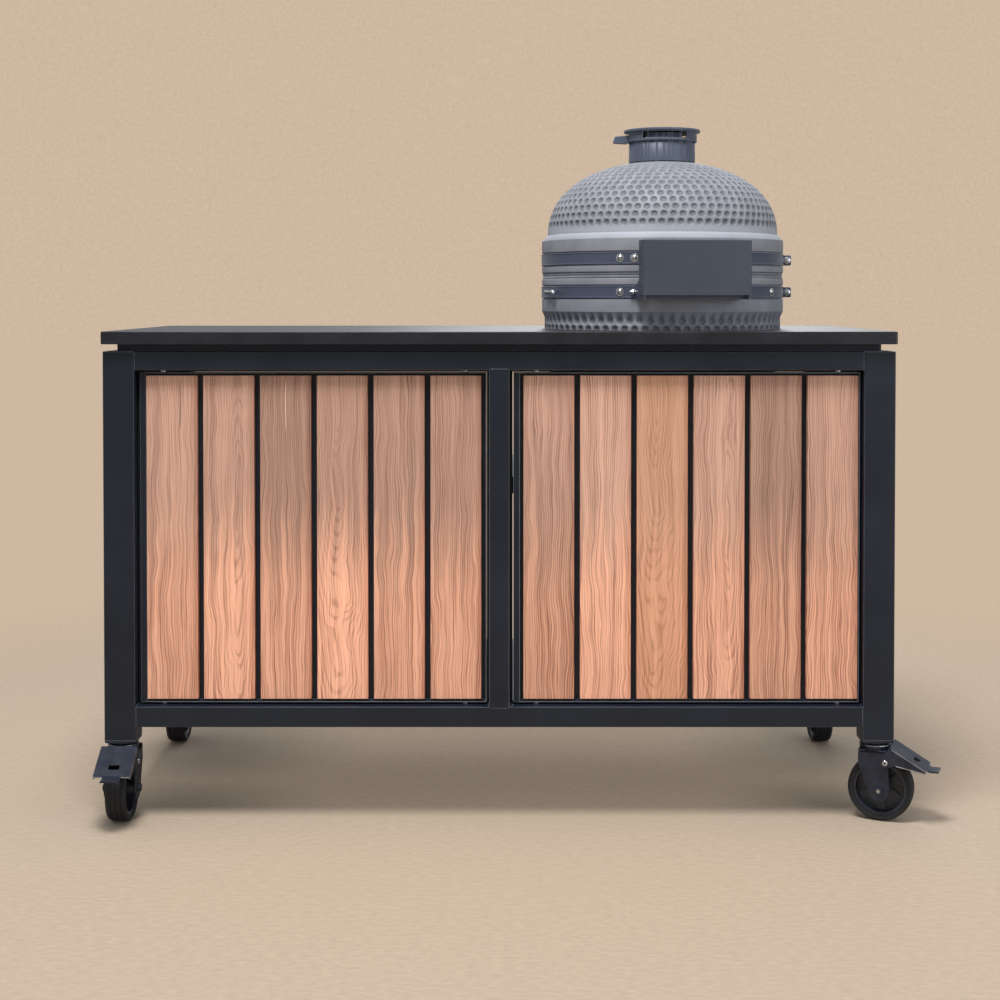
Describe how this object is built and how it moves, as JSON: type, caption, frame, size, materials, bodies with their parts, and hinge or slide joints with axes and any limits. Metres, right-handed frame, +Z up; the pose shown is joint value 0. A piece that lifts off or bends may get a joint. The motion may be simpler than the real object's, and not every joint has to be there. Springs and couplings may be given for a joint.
{
  "type": "kamado grill table",
  "caption": "Wheeled steel-framed outdoor kitchen table with slatted wooden doors and a ceramic kamado grill sunk in its worktop.",
  "frame": {"origin": "on the floor, under the middle of the whole object's bounding box", "axes": "+X along the table towards the grill's end, +Y from the door side to the open side, +Z up"},
  "size_m": [1.5964, 0.74, 1.3436],
  "materials": {
    "frame_paint": "dark grey fine-texture powder coat",
    "worktop_slab": "dark honed slab",
    "slat_wood": "oiled hardwood boards with grain",
    "kamado_ceramic": "grey glazed ceramic with a satin sheen",
    "fire_clay": "unglazed fire clay",
    "band_paint": "dark blue-grey satin powder coat",
    "cover_paint": "slate satin powder coat",
    "chimney_paint": "dark grey satin powder coat",
    "gasket_felt": "black felt",
    "stainless": "brushed stainless steel",
    "grate_iron": "bare cast iron",
    "tyre_rubber": "black rubber tread",
    "hub_plastic": "dark grey moulded disc",
    "caster_zinc": "dark zinc-plated pressed steel",
    "handle_wood": "oiled round hardwood bar"
  },
  "bodies": {
    "frame": {"end_frame_left": "frame_paint", "end_frame_right": "frame_paint", "front_frame": "frame_paint", "rear_frame": "frame_paint", "sub_top": "frame_paint", "worktop": "worktop_slab", "bottom_shelf": "frame_paint", "kamado_shelf": "frame_paint", "end_panel_left": "slat_wood", "end_panel_right": "slat_wood", "caster_pad_front_left": "caster_zinc", "caster_pad_front_right": "caster_zinc", "caster_pad_rear_left": "caster_zinc", "caster_pad_rear_right": "caster_zinc", "kamado_base": "kamado_ceramic", "base_gasket": "gasket_felt", "fire_box": "fire_clay", "charcoal_grate": "grate_iron", "cooking_grid": "stainless", "lower_band": "band_paint", "draft_door_frame": "stainless", "hinge_bracket": "band_paint", "hinge_cover": "cover_paint", "hinge_spring": "stainless"},
    "door_left": {"door_leaf_left": "frame_paint", "door_board_left_1": "slat_wood", "door_board_left_2": "slat_wood", "door_board_left_3": "slat_wood", "door_board_left_4": "slat_wood", "door_board_left_5": "slat_wood", "door_board_left_6": "slat_wood"},
    "door_right": {"door_leaf_right": "frame_paint", "door_board_right_1": "slat_wood", "door_board_right_2": "slat_wood", "door_board_right_3": "slat_wood", "door_board_right_4": "slat_wood", "door_board_right_5": "slat_wood", "door_board_right_6": "slat_wood"},
    "lid": {"kamado_lid": "kamado_ceramic", "lid_gasket": "gasket_felt", "upper_band": "band_paint", "chimney_collar": "chimney_paint", "lid_handle": "handle_wood", "thermometer": "stainless"},
    "cap": {"chimney_cap": "chimney_paint"},
    "draft_slide": {"draft_door": "stainless"},
    "caster_front_left": {"fork_front_left": "caster_zinc"},
    "wheel_front_left": {"hub_front_left": "hub_plastic", "tyre_front_left": "tyre_rubber"},
    "brake_front_left": {"pedal_front_left": "caster_zinc"},
    "caster_front_right": {"fork_front_right": "caster_zinc"},
    "wheel_front_right": {"hub_front_right": "hub_plastic", "tyre_front_right": "tyre_rubber"},
    "brake_front_right": {"pedal_front_right": "caster_zinc"},
    "caster_rear_left": {"fork_rear_left": "caster_zinc"},
    "wheel_rear_left": {"hub_rear_left": "hub_plastic", "tyre_rear_left": "tyre_rubber"},
    "caster_rear_right": {"fork_rear_right": "caster_zinc"},
    "wheel_rear_right": {"hub_rear_right": "hub_plastic", "tyre_rear_right": "tyre_rubber"}
  },
  "joints": [
    {"name": "door_left_swing", "type": "hinge", "parent": "frame", "child": "door_left", "pos_m": [-0.68123, -0.25, 0.54], "axis": [0, 0, -1], "range_deg": [0, 95]},
    {"name": "door_right_swing", "type": "hinge", "parent": "frame", "child": "door_right", "pos_m": [0.02877, -0.25, 0.54], "axis": [0, 0, -1], "range_deg": [0, 95]},
    {"name": "lid_hinge", "type": "hinge", "parent": "frame", "child": "lid", "pos_m": [0.33423, -0.24055, 1.091], "axis": [0.9914, 0.1305, 0], "range_deg": [0, 75]},
    {"name": "cap_turn", "type": "hinge", "parent": "lid", "child": "cap", "pos_m": [0.29677, 0.044, 1.33], "axis": [0, 0, 1], "range_deg": [0, 60]},
    {"name": "draft_door_slide", "type": "slide", "parent": "frame", "child": "draft_slide", "axis": [1, 0, 0], "range_m": [0, 0.09]},
    {"name": "swivel_front_left", "type": "hinge", "parent": "frame", "child": "caster_front_left", "pos_m": [-0.76123, -0.246, 0.146], "axis": [0, 0, 1], "continuous": true},
    {"name": "wheel_spin_front_left", "type": "hinge", "parent": "caster_front_left", "child": "wheel_front_left", "pos_m": [-0.76123, -0.258, 0.06155], "axis": [1, 0, 0], "continuous": true},
    {"name": "pedal_press_front_left", "type": "hinge", "parent": "caster_front_left", "child": "brake_front_left", "pos_m": [-0.76123, -0.27, 0.116], "axis": [1, 0, 0], "range_deg": [0, 12]},
    {"name": "swivel_front_right", "type": "hinge", "parent": "frame", "child": "caster_front_right", "pos_m": [0.67877, -0.246, 0.146], "axis": [0, 0, 1], "continuous": true},
    {"name": "wheel_spin_front_right", "type": "hinge", "parent": "caster_front_right", "child": "wheel_front_right", "pos_m": [0.68989, -0.2505, 0.06155], "axis": [0.3746, 0.9272, 0], "continuous": true},
    {"name": "pedal_press_front_right", "type": "hinge", "parent": "caster_front_right", "child": "brake_front_right", "pos_m": [0.70102, -0.25499, 0.116], "axis": [0.3746, 0.9272, 0], "range_deg": [0, 12]},
    {"name": "swivel_rear_left", "type": "hinge", "parent": "frame", "child": "caster_rear_left", "pos_m": [-0.76123, 0.314, 0.146], "axis": [0, 0, 1], "continuous": true},
    {"name": "wheel_spin_rear_left", "type": "hinge", "parent": "caster_rear_left", "child": "wheel_rear_left", "pos_m": [-0.76123, 0.302, 0.06155], "axis": [1, 0, 0], "continuous": true},
    {"name": "swivel_rear_right", "type": "hinge", "parent": "frame", "child": "caster_rear_right", "pos_m": [0.67877, 0.314, 0.146], "axis": [0, 0, 1], "continuous": true},
    {"name": "wheel_spin_rear_right", "type": "hinge", "parent": "caster_rear_right", "child": "wheel_rear_right", "pos_m": [0.67877, 0.302, 0.06155], "axis": [1, 0, 0], "continuous": true}
  ]
}
